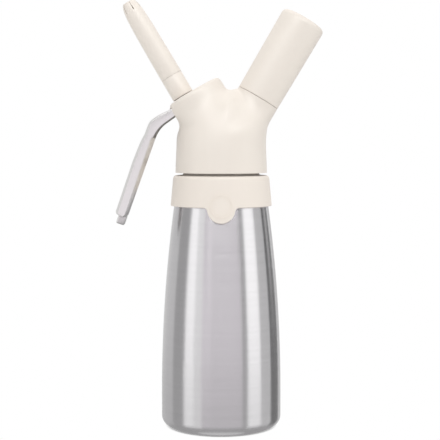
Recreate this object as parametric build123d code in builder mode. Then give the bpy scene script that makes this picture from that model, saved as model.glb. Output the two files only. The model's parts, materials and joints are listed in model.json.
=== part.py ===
from build123d import *
import os
from math import cos, radians, sin, sqrt

os.makedirs("parts", exist_ok=True)

# Clearances shared by the fits
running_gap = 0.06
gasket_gap = 0.05
thread_gap = 0.3
cut_past = 1.0

# Bottle, from its base up to the rim of the neck
bottle_r = 40.0
bottle_wall = 1.0
base_corner = 7.0
body_straight_z = 22.0
rim_z = 185.0
rim_round = 0.6
neck_r = 23.2
neck_wall = 1.9
neck_length = 14.0
neck_flare_out = 2.3
neck_flare_height = 3.5
shoulder_out = 8.3
shoulder_height = 19.5
neck_thread_start = 2.5
neck_thread_depth = 1.2
neck_thread_pitch = 4.0
neck_thread_turns = 2.25
thread_root_share = 0.72
thread_crest_share = 0.32
thread_lead_in = 2.0
thread_run_out = 0.1

# Collar
collar_gap = 0.2
collar_wall = 2.3
collar_taper = 1.9
collar_head_gap = 1.7
collar_top_round = 2.4
collar_edge = 0.6
lip_wall = 0.8
lip_height = 2.1
tab_r = 9.1
tab_drop = 0.9
tab_fillet = 2.7
tab_ring_r = 7.5
tab_ring_rise = 2.0
tab_ring_width = 0.7
tab_ring_height = 0.4
tab_ring_sunk = 0.5

# Head: two arms lean away from the bottle's axis and meet at the apex
arm_tilt = 30.5
apex_below_rim = 7.0
skirt_below_rim = 15.0
dome_above_rim = 8.0
core_wall = 2.1
shell_wall = 2.5
shell_gap = 0.25
skirt_flare = 0.9
skirt_edge = 0.7
arm_out = 20.0
face_wall = 2.4
face_round = 4.0
valve_boss_shift = 7.0
valve_boss_length = 8.0
valve_root_inset = 5.0
valve_blend = 5.0
holder_boss_length = 6.0
holder_root_inset = 10.0
holder_blend = 3.0

# Core
core_above_skirt = 1.6
gasket_thick = 2.0
gasket_side_gap = 0.15
gasket_width = 3.35
recess_r = 16.0
recess_depth = 3.5
seat_w = 9.0
chamber_length = 5.0
chamber_room = 1.5
nose_wall = 2.5
guide_length = 14.0
guide_room = 4.75

# Valve stem
stem_r = 4.5
stem_wall = 1.5
stem_step = 0.5
stem_top_wall = 1.3
stem_above_face = 7.4
bore_step = 1.0
bore_floor = 0.5
plug_overlap = 1.3
plug_thick = 3.0
plug_washer_thick = 2.0
port_r = 1.5
o_ring_r = 1.0
o_ring_above_chamber = 6.2
ring_room = 0.24
collar_disc_lip = 1.2
collar_disc_thick = 2.4
press_gap = 0.4
clip_thick = 0.8
clip_width = 1.1
clip_groove = 0.5
clip_mouth_inset = 0.5
spring_gap = 1.05
spring_wire_r = 0.7
spring_turns = 3.5

# Tip
adapter_wall = 3.35
adapter_rise = 1.0
adapter_height = 15.3
adapter_gap = 0.5
spigot_wall = 1.0
spigot_length = 7.1
tip_gap = 0.1
tip_edge = 0.4
tip_length = 55.8
outlet_r = 3.3
crown_slots = 6
crown_depth = 6.6
notch_depth = 4.6
notch_mouth = 3.2
notch_root = 0.8
crown_widening = 0.7
crown_wall = 1.4
tip_nose = 11.0
tip_nose_slim = 0.9
tip_nose_round = 20.0

# Lever
pivot_u = 12.5
pivot_below_face = 6.1
pin_r = 2.0
pin_stub = 1.4
pin_clip_r = 3.6
pin_clip_thick = 0.7
pin_groove = 0.5
lever_sheet = 2.0
lever_edge = 1.4
fork_gap = 1.3
fork_end_r = 3.4
fork_web_end = -6.5
fork_rise = 2.8
fork_drop = 0.5
nose_drop = 2.9
nose_half = 1.6
nose_slope = 0.8
fork_start_u = -10.8
entry_drop = 2.6
bend_clear = 1.6
bend_out_round = 13.0
bend_in_round = 20.0
handle_tilt = 18.8
handle_length = 62.6
handle_depth = 9.1
bead_r = 1.3
bead_proud = 0.4
tongue_inset = 2.4
tongue_width = 5.6
tongue_length = 5.6
tongue_side_inset = 2.3
tongue_round = 1.2
ear_gap = 0.4
ear_thick = 3.6
ear_room = 2.1
ear_before_pin = 5.0
ear_past_pin = 4.5
slot_gap = 0.6
slot_drop = 9.1

# Gas side
charger_r = 9.0
charger_length = 65.8
charger_wall = 1.4
charger_neck_r = 4.35
charger_neck_length = 8.5
charger_shoulder = 8.0
charger_sink = 9.6
charger_gap = 0.4
charger_end_gap = 0.2
gas_hole_r = 1.5
nipple_wall = 1.0
nipple_neck_gap = 0.25
nipple_spigot_wall = 2.4
nipple_flange_gap = 0.15
nipple_flange_thick = 3.0
nipple_cup_depth = 11.0
nipple_floor_thick = 2.5
nipple_sink = 4.0
nipple_ring_r = 0.85
nipple_ring_drop = 5.0
holder_thread_start = 4.0
holder_thread_depth = 0.6
holder_thread_pitch = 2.0
holder_thread_turns = 2.5
piercer_r = 1.2
piercer_bore_r = 0.6
piercer_flange = 1.5
piercer_bite = 2.0
piercer_edge = 0.2
seal_thick = 1.85
seal_room = 0.15
ball_r = 2.5
ball_side_gap = 0.5
ball_seat_wall = 5.0
ball_way_length = 12.4
retainer_thick = 1.0
check_wire_r = 0.25
check_spring_r = 1.7
check_turns = 4.0
holder_seam = 0.2
holder_flare = 0.6
holder_cap = 2.5
holder_round = 3.0
holder_edge = 0.4
cover_wall = 2.4
liner_gap = 0.1
liner_wall = 0.7
liner_step_gap = 0.6
liner_crown_angle = 30.0

# Heights that follow from the rim
neck_z = rim_z - neck_length
shoulder_top_z = neck_z - neck_flare_height
shoulder_z = shoulder_top_z - shoulder_height
neck_thread_z = neck_z + neck_thread_start
apex_z = rim_z - apex_below_rim
head_bottom_z = rim_z - skirt_below_rim
dome_z = rim_z + dome_above_rim
core_bottom_z = head_bottom_z + core_above_skirt
ceiling_z = rim_z + gasket_thick
recess_z = ceiling_z + recess_depth
collar_top_z = head_bottom_z - collar_head_gap
lip_top_z = collar_top_z + lip_height
tab_z = shoulder_z - tab_drop

# Radii that follow from the neck
shoulder_r = neck_r + shoulder_out
shoulder_top_r = neck_r + neck_flare_out
collar_bottom_r = shoulder_r + collar_wall
collar_top_r = collar_bottom_r - collar_taper
core_bore_r = neck_r + thread_gap
core_r = core_bore_r + neck_thread_depth + thread_gap + core_wall
head_r = core_r + shell_wall
head_bottom_r = head_r + skirt_flare
gasket_r = core_bore_r - gasket_side_gap
gasket_inner_r = gasket_r - gasket_width
arm_reach = head_r + arm_out
face_w = arm_reach - face_wall

# Radii that follow from the stem
stem_bore_r = stem_r - stem_wall
stem_top_r = stem_r - stem_step
stem_top_bore_r = stem_top_r - stem_top_wall
chamber_r = stem_r + chamber_room
valve_nose_r = chamber_r + nose_wall
plug_r = chamber_r + plug_overlap
clip_r = stem_top_r + clip_width
spring_r = stem_r + spring_gap + spring_wire_r
adapter_r = stem_top_r + adapter_wall
spigot_r = stem_top_r + spigot_wall
face_hole_r = adapter_r + adapter_gap
crown_r = outlet_r + crown_widening
tip_end_r = crown_r + crown_wall
tip_nose_r = adapter_r - tip_nose_slim
lever_half = stem_top_r + fork_gap + lever_sheet
collar_disc_r = lever_half + collar_disc_lip
tongue_half = lever_half - tongue_side_inset
ear_inner = lever_half + ear_gap
ear_outer = ear_inner + ear_thick
ear_u0 = pivot_u - ear_before_pin
ear_u1 = pivot_u + ear_past_pin
pin_half = ear_outer + pin_stub
slot_half = lever_half + slot_gap
core_valve_r = sqrt((ear_u1 - valve_boss_shift) ** 2 + ear_outer**2) + ear_room
valve_boss_r = core_valve_r + shell_gap + shell_wall
guide_room_u = valve_boss_shift + core_valve_r + guide_room
bend_u = -head_r - bend_clear

# Places along the valve's arm, measured from the apex
plug_top = seat_w - plug_washer_thick
plug_low = plug_top - plug_thick
chamber_top = seat_w + chamber_length
o_ring_w = chamber_top + o_ring_above_chamber
guide_top = chamber_top + guide_length
pivot_w = arm_reach - pivot_below_face
fork_top = pivot_w + fork_rise
fork_under = pivot_w - fork_drop
nose_w = pivot_w - nose_drop
entry_under = pivot_w - entry_drop
ear_top = pivot_w + fork_end_r
slot_low = pivot_w - slot_drop
stem_shoulder = nose_w - press_gap - collar_disc_thick
stem_end = arm_reach + stem_above_face
adapter_top = arm_reach + adapter_height
spigot_top = adapter_top + spigot_length
tip_end = adapter_top + tip_length

# Radii that follow from the charger
liner_bore_r = charger_r + charger_gap
nipple_cup_in = charger_r + charger_gap
nipple_cup_r = nipple_cup_in + nipple_wall
liner_thread_r = nipple_cup_r + thread_gap
liner_r = liner_thread_r + holder_thread_depth + thread_gap + liner_wall
holder_boss_r = liner_r + liner_gap + cover_wall
holder_top_r = holder_boss_r + holder_flare
core_gas_r = holder_boss_r - shell_wall - shell_gap
nipple_flange_r = core_gas_r - nipple_flange_gap
nipple_neck_r = charger_neck_r + nipple_neck_gap
nipple_spigot_r = nipple_neck_r + nipple_spigot_wall
ball_way_r = ball_r + ball_side_gap

# Places along the charger's arm, measured from the apex
charger_tip = arm_reach - charger_sink
charger_end = charger_tip + charger_length
piercer_tip = charger_tip + piercer_bite
nipple_seat = charger_tip - seal_room - seal_thick - piercer_flange
spigot_bore_low = nipple_seat - nipple_floor_thick
core_arm_top = charger_tip + nipple_sink
nipple_floor = core_arm_top + nipple_flange_thick
nipple_top = nipple_floor + nipple_cup_depth
nipple_ring_w = core_arm_top - nipple_ring_drop
holder_thread_w = nipple_floor + holder_thread_start
ball_seat = spigot_bore_low - ball_seat_wall
retainer_low = ball_seat - ball_way_length
holder_low = arm_reach + holder_seam
liner_high = charger_end + charger_end_gap
holder_high = liner_high + liner_gap + holder_cap

tilt_sin = sin(radians(arm_tilt))
tilt_cos = cos(radians(arm_tilt))
apex = Vector(0, 0, apex_z)
valve_u = Vector(tilt_cos, 0, tilt_sin)
valve_n = Vector(-tilt_sin, 0, tilt_cos)
gas_u = Vector(tilt_cos, 0, -tilt_sin)
gas_n = Vector(tilt_sin, 0, tilt_cos)
front = Vector(0, -1, 0)

upright_side = Plane.XZ
upright_axis = Axis.Z
valve_side = Plane(origin=apex, x_dir=valve_u, z_dir=front)
valve_axis = Axis(apex, valve_n)
gas_side = Plane(origin=apex, x_dir=gas_u, z_dir=front)
gas_axis = Axis(apex, gas_n)


def valve_at(w):
    return Plane(origin=apex + valve_n * w, x_dir=valve_u, z_dir=valve_n)


def gas_at(w):
    return Plane(origin=apex + gas_n * w, x_dir=gas_u, z_dir=gas_n)


def turned(side, axis, points, rounds=()):
    with BuildPart() as piece:
        with BuildSketch(side) as outline:
            with BuildLine():
                Polyline(*points, close=True)
            make_face()
            for r, w, size in rounds:
                fillet(outline.vertices().sort_by_distance((r, w, 0))[0], size)
        revolve(axis=axis)
    return piece.part


def washer(side, axis, inner, outer, low, high):
    return turned(side, axis, [(inner, low), (outer, low), (outer, high), (inner, high)])


def ring(side, axis, r, w, section_r):
    with BuildPart() as piece:
        with BuildSketch(side):
            with Locations((r, w)):
                Circle(section_r)
        revolve(axis=axis)
    return piece.part


def rod(plane, r, length):
    with BuildPart() as piece:
        with BuildSketch(plane):
            Circle(r)
        extrude(amount=length)
    return piece.part


def coil(origin, up, r, wire_r, turns, height):
    with BuildPart() as piece:
        with BuildLine() as path:
            Helix(height / turns, height, r, center=origin, direction=up)
        start = path.line @ 0
        with BuildSketch(Plane(origin=start, x_dir=start - origin, z_dir=path.line % 0)):
            Circle(wire_r)
        sweep(path=path.line, is_frenet=True)
    return piece.part


def thread(origin, up, root_r, depth, pitch, turns, gap):
    # A ridge with sloping flanks; with a gap it is the groove that such a ridge runs in
    flank = thread_root_share * pitch / 2 + gap
    crest = thread_crest_share * pitch / 2 + gap
    top = depth + gap
    sunk = depth / 3
    with BuildPart() as piece:
        with BuildLine() as path:
            Helix(pitch, pitch * turns, root_r, center=origin, direction=up)
        start = path.line @ 0
        with BuildSketch(Plane(origin=start, x_dir=start - origin, z_dir=path.line % 0)):
            with BuildLine():
                Polyline((-sunk, -flank), (top, -crest), (top, crest), (-sunk, flank), close=True)
            make_face()
        sweep(path=path.line, is_frenet=True)
    return piece.part


def groove_for(origin, up, root_r, depth, pitch, turns):
    # It starts lower, past the open end, and runs a little past the ridge's far end
    low = origin - up * (thread_lead_in * pitch)
    return thread(low, up, root_r, depth, pitch, thread_lead_in + turns + thread_run_out, thread_gap)


def save(part, name):
    part.label = name
    export_step(part, "parts/" + name + ".step")


# The bottle's outline: a long arc up the body, then a tighter one over the shoulder
body_dr = bottle_r - shoulder_r
body_dz = shoulder_z - body_straight_z
body_curve_r = (body_dr**2 + body_dz**2) / (2 * body_dr)
body_centre_r = bottle_r - body_curve_r


def body_at(z, out):
    return body_centre_r + sqrt((body_curve_r + out) ** 2 - (z - body_straight_z) ** 2)


shoulder_in_r = (shoulder_r - body_centre_r) / body_curve_r
shoulder_in_z = (shoulder_z - body_straight_z) / body_curve_r
shoulder_dr = shoulder_top_r - shoulder_r
shoulder_dz = shoulder_top_z - shoulder_z
shoulder_chord = shoulder_dr**2 + shoulder_dz**2
shoulder_curve_r = -shoulder_chord / (2 * (shoulder_in_r * shoulder_dr + shoulder_in_z * shoulder_dz))
shoulder_centre_r = shoulder_r - shoulder_in_r * shoulder_curve_r
shoulder_centre_z = shoulder_z - shoulder_in_z * shoulder_curve_r


def shoulder_at(z, out):
    reach = sqrt((shoulder_curve_r + out) ** 2 - (z - shoulder_centre_z) ** 2)
    return shoulder_centre_r + reach


def body_join(out):
    r = shoulder_r + shoulder_in_r * out
    z = shoulder_z + shoulder_in_z * out
    return (r, z)


def flask(out, floor_z, top_z, corner, neck):
    side_r = bottle_r + out
    join_r, join_z = body_join(out)
    top_r = shoulder_at(shoulder_top_z, out)
    middle_z = (body_straight_z + join_z) / 2
    middle_r = body_at(middle_z, out)
    bend_z = (join_z + shoulder_top_z) / 2
    bend_r = shoulder_at(bend_z, out)
    with BuildPart() as piece:
        with BuildSketch(upright_side):
            with BuildLine():
                Line((0, floor_z), (side_r - corner, floor_z))
                RadiusArc((side_r - corner, floor_z), (side_r, floor_z + corner), -corner)
                Line((side_r, floor_z + corner), (side_r, body_straight_z))
                ThreePointArc((side_r, body_straight_z), (middle_r, middle_z), (join_r, join_z))
                ThreePointArc((join_r, join_z), (bend_r, bend_z), (top_r, shoulder_top_z))
                Line((top_r, shoulder_top_z), (neck, neck_z))
                Line((neck, neck_z), (neck, top_z))
                Line((neck, top_z), (0, top_z))
                Line((0, top_z), (0, floor_z))
            make_face()
        revolve(axis=upright_axis)
    return piece.part


upward = Vector(0, 0, 1)
neck_thread = (
    upward * neck_thread_z,
    upward,
    neck_r,
    neck_thread_depth,
    neck_thread_pitch,
    neck_thread_turns,
)
with BuildPart() as bottle:
    add(flask(0, 0, rim_z, base_corner, neck_r))
    add(
        flask(-bottle_wall, bottle_wall, rim_z + cut_past, base_corner - bottle_wall, neck_r - neck_wall),
        mode=Mode.SUBTRACT,
    )
    lip = bottle.edges().filter_by(GeomType.CIRCLE).group_by(Axis.Z)[-1]
    fillet(lip, rim_round)
    add(thread(*neck_thread, 0))
save(bottle.part, "bottle")

# Soft collar on the shoulder, with a round tab hanging at the front
collar_slope = (collar_top_r - collar_bottom_r) / (collar_top_z - shoulder_z)
flare_slope = neck_flare_out / neck_flare_height
tab_low_z = tab_z - tab_r - cut_past
band_height = 2 * (collar_top_z - shoulder_z)


def collar_outer(z):
    return collar_bottom_r + collar_slope * (z - shoulder_z)


def collar_band(inner, outer):
    join_r, join_z = body_join(inner)
    bend_z = (join_z + shoulder_top_z) / 2
    bend_in_r = shoulder_at(bend_z, inner)
    low_mid = (tab_low_z + join_z) / 2
    low_in = body_at(tab_low_z, inner)
    top_in = shoulder_at(shoulder_top_z, inner)
    lip_in = top_in - flare_slope * (lip_top_z - shoulder_top_z)
    lip_foot = top_in - flare_slope * (collar_top_z - shoulder_top_z) + lip_wall
    low_out = collar_outer(tab_low_z) + outer
    top_out = collar_outer(collar_top_z) + outer
    with BuildPart() as piece:
        with BuildSketch(upright_side):
            with BuildLine():
                ThreePointArc((low_in, tab_low_z), (body_at(low_mid, inner), low_mid), (join_r, join_z))
                ThreePointArc((join_r, join_z), (bend_in_r, bend_z), (top_in, shoulder_top_z))
                Line((top_in, shoulder_top_z), (lip_in, lip_top_z))
                Line((lip_in, lip_top_z), (lip_in + lip_wall, lip_top_z))
                Line((lip_in + lip_wall, lip_top_z), (lip_foot, collar_top_z))
                Line((lip_foot, collar_top_z), (top_out, collar_top_z))
                Line((top_out, collar_top_z), (low_out, tab_low_z))
                Line((low_out, tab_low_z), (low_in, tab_low_z))
            make_face()
        revolve(axis=upright_axis)
    return piece.part


with BuildPart() as tab_outline:
    with BuildSketch(upright_side) as tab_sketch:
        with Locations((0, shoulder_z + band_height / 2)):
            Rectangle(4 * bottle_r, band_height)
        with Locations((0, tab_z)):
            Circle(tab_r)
        low_corners = tab_sketch.vertices().sort_by(Axis.Y)[:4].sort_by(Axis.X)
        fillet(low_corners[1:-1], tab_fillet)
    extrude(amount=2 * bottle_r)
    with Locations((0, bottle_r, shoulder_z + band_height / 2)):
        Box(4 * bottle_r, 2 * bottle_r, band_height)

with BuildPart() as tab_ring:
    with BuildSketch(upright_side):
        with Locations((0, tab_z + tab_ring_rise)):
            Circle(tab_ring_r)
            Circle(tab_ring_r - tab_ring_width, mode=Mode.SUBTRACT)
    extrude(amount=2 * bottle_r)
    add(collar_band(collar_gap + tab_ring_sunk, tab_ring_height), mode=Mode.INTERSECT)


def is_top_edge(edge):
    return edge.geom_type == GeomType.CIRCLE and abs(edge.center().Z - collar_top_z) < 0.01


def is_low_edge(edge):
    middle = edge.position_at(0.5)
    outside = sqrt(middle.X**2 + middle.Y**2) > collar_outer(middle.Z) - collar_gap
    return outside and middle.Z < shoulder_z + collar_edge


with BuildPart() as collar:
    add(collar_band(collar_gap, 0))
    add(tab_outline.part, mode=Mode.INTERSECT)
    top_edges = collar.edges().filter_by(is_top_edge)
    fillet(top_edges.sort_by(SortBy.RADIUS)[-1], collar_top_round)
    fillet(collar.edges().filter_by(is_low_edge), collar_edge)
    add(tab_ring.part)
save(collar.part, "collar")


# The head's core fills the shell: a skirt with a domed top and two leaning arms
def head_block(out, low_z, valve_top, gas_top):
    r = core_r + out
    with BuildPart() as piece:
        with BuildSketch(upright_side):
            with BuildLine():
                Line((0, low_z), (r, low_z))
                Line((r, low_z), (r, dome_z))
                RadiusArc((r, dome_z), (0, dome_z + r), -r)
                Line((0, dome_z + r), (0, low_z))
            make_face()
        revolve(axis=upright_axis)
        with BuildSketch(valve_at(0)):
            with Locations((valve_boss_shift, 0)):
                Circle(core_valve_r + out)
        extrude(amount=valve_top)
        with BuildSketch(gas_at(0)):
            Circle(core_gas_r + out)
        extrude(amount=gas_top)
    return piece.part


def flared_arm(plane, shift, inset, r):
    with BuildPart() as piece:
        with BuildSketch(Plane.XY.offset(apex_z)):
            Circle(head_r - inset)
        with BuildSketch(plane):
            with Locations((shift, 0)):
                Circle(r)
        loft()
    return piece.part


def is_blend_edge(edge):
    curved = edge.geom_type not in (GeomType.LINE, GeomType.CIRCLE)
    return curved and edge.bounding_box().size.Y > shell_wall


with BuildPart() as head_shell:
    with BuildSketch(upright_side) as skirt_outline:
        with BuildLine():
            Line((0, head_bottom_z), (head_bottom_r, head_bottom_z))
            Line((head_bottom_r, head_bottom_z), (head_bottom_r, head_bottom_z + shell_wall))
            Line((head_bottom_r, head_bottom_z + shell_wall), (head_r, dome_z))
            RadiusArc((head_r, dome_z), (0, dome_z + head_r), -head_r)
            Line((0, dome_z + head_r), (0, head_bottom_z))
        make_face()
        low_corner = skirt_outline.vertices().sort_by_distance((head_bottom_r, head_bottom_z, 0))[0]
        fillet(low_corner, skirt_edge)
    revolve(axis=upright_axis)
    valve_boss = valve_at(arm_reach - valve_boss_length)
    add(flared_arm(valve_boss, valve_boss_shift, valve_root_inset, valve_boss_r))
    fillet(head_shell.edges().filter_by(is_blend_edge), valve_blend)
    with BuildSketch(valve_boss):
        with Locations((valve_boss_shift, 0)):
            Circle(valve_boss_r)
    extrude(amount=valve_boss_length)
    earlier = head_shell.edges()
    holder_boss = gas_at(arm_reach - holder_boss_length)
    add(flared_arm(holder_boss, 0, holder_root_inset, holder_boss_r))
    new_edges = [edge for edge in head_shell.edges() if edge not in earlier]
    fillet([edge for edge in new_edges if is_blend_edge(edge)], holder_blend)
    with BuildSketch(holder_boss):
        Circle(holder_boss_r)
    extrude(amount=holder_boss_length)
    valve_face = head_shell.faces().sort_by(valve_axis)[-1]
    fillet(valve_face.edges(), face_round)
    add(head_block(shell_gap, head_bottom_z, face_w, arm_reach), mode=Mode.SUBTRACT)
    with BuildSketch(valve_at(face_w)):
        Circle(face_hole_r)
    extrude(amount=2 * face_wall, mode=Mode.SUBTRACT)
    with BuildSketch(valve_at(slot_low)):
        with Locations((-2 * valve_boss_r, 0)):
            Rectangle(4 * valve_boss_r, 2 * slot_half)
    extrude(amount=face_w - slot_low, mode=Mode.SUBTRACT)
save(head_shell.part, "head_shell")

guide_r = stem_r + running_gap
ring_groove_r = guide_r + 2 * o_ring_r + running_gap
ring_groove_half = o_ring_r + ring_room
nipple_bore_r = nipple_spigot_r + running_gap
hinge_r = pin_r + running_gap
pivot_plane = Plane(origin=apex + valve_u * pivot_u + valve_n * pivot_w, x_dir=valve_u, z_dir=front)


def across(plane, r, half):
    with BuildPart() as piece:
        with BuildSketch(plane):
            Circle(r)
        extrude(amount=half, both=True)
    return piece.part


with BuildPart() as head_core:
    add(head_block(0, core_bottom_z, guide_top, core_arm_top))
    with BuildSketch(valve_at(guide_top)):
        with Locations((guide_room_u - 2 * bottle_r, 0)):
            Rectangle(4 * bottle_r, 4 * bottle_r)
    extrude(amount=2 * bottle_r, mode=Mode.SUBTRACT)
    with BuildSketch(Plane.XY.offset(head_bottom_z)):
        Circle(core_bore_r)
    extrude(amount=ceiling_z - head_bottom_z, mode=Mode.SUBTRACT)
    add(groove_for(*neck_thread), mode=Mode.SUBTRACT)
    with BuildSketch(Plane.XY.offset(ceiling_z)):
        Circle(recess_r)
    extrude(amount=recess_z - ceiling_z, mode=Mode.SUBTRACT)
    add(rod(valve_at(seat_w), valve_nose_r, chamber_top - seat_w))
    ear_mid = (ear_inner + ear_outer) / 2
    with BuildSketch(valve_at(guide_top)):
        with Locations(((ear_u0 + ear_u1) / 2, ear_mid), ((ear_u0 + ear_u1) / 2, -ear_mid)):
            Rectangle(ear_u1 - ear_u0, ear_outer - ear_inner)
    extrude(amount=ear_top - guide_top)
    add(across(pivot_plane, hinge_r, bottle_r), mode=Mode.SUBTRACT)
    valve_way = turned(
        valve_side,
        valve_axis,
        [
            (0, seat_w - cut_past),
            (chamber_r, seat_w - cut_past),
            (chamber_r, chamber_top),
            (guide_r, chamber_top),
            (guide_r, o_ring_w - ring_groove_half),
            (ring_groove_r, o_ring_w - ring_groove_half),
            (ring_groove_r, o_ring_w + ring_groove_half),
            (guide_r, o_ring_w + ring_groove_half),
            (guide_r, guide_top + cut_past),
            (0, guide_top + cut_past),
        ],
    )
    add(valve_way, mode=Mode.SUBTRACT)
    gas_way = turned(
        gas_side,
        gas_axis,
        [
            (0, seat_w),
            (ball_way_r, seat_w),
            (ball_way_r, ball_seat),
            (gas_hole_r, ball_seat),
            (gas_hole_r, spigot_bore_low),
            (nipple_bore_r, spigot_bore_low),
            (nipple_bore_r, core_arm_top + cut_past),
            (0, core_arm_top + cut_past),
        ],
    )
    add(gas_way, mode=Mode.SUBTRACT)
save(head_core.part, "head_core")

gasket_low = rim_z + gasket_gap
gasket_high = ceiling_z - gasket_gap
head_gasket = washer(upright_side, upright_axis, gasket_inner_r, gasket_r, gasket_low, gasket_high)
save(head_gasket, "head_gasket")

# The valve: a plug below its seat, on a hollow stem that rises through the core to the tip
clip_w = stem_shoulder + collar_disc_thick + gasket_gap
clip_high = clip_w + clip_thick + gasket_gap
clip_root_r = stem_top_r - clip_groove
port_w = (seat_w + chamber_top) / 2
bore_low = port_w - port_r - bore_floor
with BuildPart() as valve_stem:
    with BuildSketch(valve_side):
        with BuildLine():
            Polyline(
                (0, plug_low),
                (plug_r, plug_low),
                (plug_r, plug_top),
                (stem_r, plug_top),
                (stem_r, stem_shoulder),
                (stem_top_r, stem_shoulder),
                (stem_top_r, clip_w),
                (clip_root_r, clip_w),
                (clip_root_r, clip_high),
                (stem_top_r, clip_high),
                (stem_top_r, stem_end),
                (stem_top_bore_r, stem_end),
                (stem_top_bore_r, stem_shoulder - bore_step),
                (stem_bore_r, stem_shoulder - 2 * bore_step),
                (stem_bore_r, bore_low),
                (0, bore_low),
                close=True,
            )
        make_face()
    revolve(axis=valve_axis)
    port_plane = Plane(origin=apex + valve_n * port_w, x_dir=valve_n, z_dir=front)
    add(across(port_plane, port_r, 2 * stem_r), mode=Mode.SUBTRACT)
    side_plane = Plane(origin=apex + valve_n * port_w, x_dir=valve_n, z_dir=valve_u)
    add(across(side_plane, port_r, 2 * stem_r), mode=Mode.SUBTRACT)
save(valve_stem.part, "valve_stem")


plug_washer = washer(valve_side, valve_axis, stem_r + gasket_gap, plug_r, plug_top, seat_w - gasket_gap)
save(plug_washer, "plug_washer")

stem_o_ring = ring(valve_side, valve_axis, guide_r + o_ring_r, o_ring_w, o_ring_r)
save(stem_o_ring, "stem_o_ring")

spring_low = guide_top + spring_wire_r + gasket_gap
spring_high = stem_shoulder - spring_wire_r - gasket_gap
spring_rise = spring_high - spring_low
spring_foot = apex + valve_n * spring_low
return_spring = coil(spring_foot, valve_n, spring_r, spring_wire_r, spring_turns, spring_rise)
save(return_spring, "return_spring")
print("return_spring gap between turns", round(spring_rise / spring_turns - 2 * spring_wire_r, 2))

thrust_collar = washer(
    valve_side,
    valve_axis,
    stem_top_r + gasket_gap,
    collar_disc_r,
    stem_shoulder,
    stem_shoulder + collar_disc_thick,
)
save(thrust_collar, "thrust_collar")

with BuildPart() as stem_clip:
    add(washer(valve_side, valve_axis, clip_root_r + running_gap, clip_r, clip_w, clip_w + clip_thick))
    with BuildSketch(valve_at(clip_w)):
        with Locations((-clip_r, 0)):
            Rectangle(2 * clip_r, 2 * (clip_root_r - clip_mouth_inset))
    extrude(amount=clip_thick, mode=Mode.SUBTRACT)
save(stem_clip.part, "stem_clip")

# Tip: an adapter on the stem's end, and the decorator tip pushed on its spigot
adapter_low = arm_reach + adapter_rise
tip_adapter = turned(
    valve_side,
    valve_axis,
    [
        (stem_top_r + gasket_gap, adapter_low),
        (adapter_r, adapter_low),
        (adapter_r, adapter_top),
        (spigot_r, adapter_top),
        (spigot_r, spigot_top),
        (stem_bore_r, spigot_top),
        (stem_bore_r, stem_end + gasket_gap),
        (stem_top_r + gasket_gap, stem_end + gasket_gap),
    ],
    [(adapter_r, adapter_top, tip_edge), (adapter_r, adapter_low, tip_edge)],
)
save(tip_adapter, "tip_adapter")

tip_low = adapter_top + tip_gap
crown_low = tip_end - crown_depth
with BuildPart() as decorator_tip:
    add(
        turned(
            valve_side,
            valve_axis,
            [
                (spigot_r + tip_gap, tip_low),
                (adapter_r, tip_low),
                (tip_nose_r, tip_end - tip_nose),
                (tip_end_r, tip_end),
                (crown_r, tip_end),
                (crown_r, crown_low),
                (outlet_r, crown_low + outlet_r - crown_r),
                (outlet_r, spigot_top + 2 * tip_gap),
                (spigot_r + tip_gap, spigot_top + 2 * tip_gap),
            ],
            [
                (adapter_r, tip_low, tip_edge),
                (tip_nose_r, tip_end - tip_nose, tip_nose_round),
                (tip_end_r, tip_end, tip_edge),
            ],
        )
    )
    for slot in range(crown_slots // 2):
        along = valve_u.rotate(Axis((0, 0, 0), valve_n), 360 / crown_slots * slot)
        with BuildSketch(Plane(origin=apex + valve_n * tip_end, x_dir=valve_n.cross(along), z_dir=along)):
            with BuildLine():
                Polyline(
                    (-notch_mouth / 2, cut_past),
                    (-notch_mouth / 2, 0),
                    (-notch_root / 2, -notch_depth),
                    (notch_root / 2, -notch_depth),
                    (notch_mouth / 2, 0),
                    (notch_mouth / 2, cut_past),
                    close=True,
                )
            make_face()
        extrude(amount=2 * adapter_r, both=True, mode=Mode.SUBTRACT)
save(decorator_tip.part, "decorator_tip")


# Lever: folded sheet, forked round the stem at the pivot and bent down to the handle
def lever_at(u, w):
    place = apex + valve_u * u + valve_n * w
    return Vector(place.X, place.Z, 0)


handle_down = Vector(-sin(radians(handle_tilt)), -cos(radians(handle_tilt)), 0)
handle_in = Vector(cos(radians(handle_tilt)), -sin(radians(handle_tilt)), 0)
arm_in = Vector(-valve_n.X, -valve_n.Z, 0)
bend_out = lever_at(bend_u, fork_top)
end_out = bend_out + handle_down * handle_length
end_in = end_out + handle_in * handle_depth
bend_in = bend_out + handle_in * handle_depth
channel_bend = bend_out + (arm_in + handle_in) * (lever_sheet / (1 + arm_in.dot(handle_in)))
channel_end = end_out + handle_in * lever_sheet - handle_down * lever_sheet


def is_outer_edge(edge):
    middle = edge.position_at(0.5)
    spot = Vector(middle.X, middle.Z, 0)
    on_side = abs(abs(middle.Y) - lever_half) < 0.01
    above_arm = (spot - bend_out).dot(arm_in) < lever_sheet
    beside_handle = (spot - bend_out).dot(handle_in) < lever_sheet
    return on_side and (above_arm or beside_handle)


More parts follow.
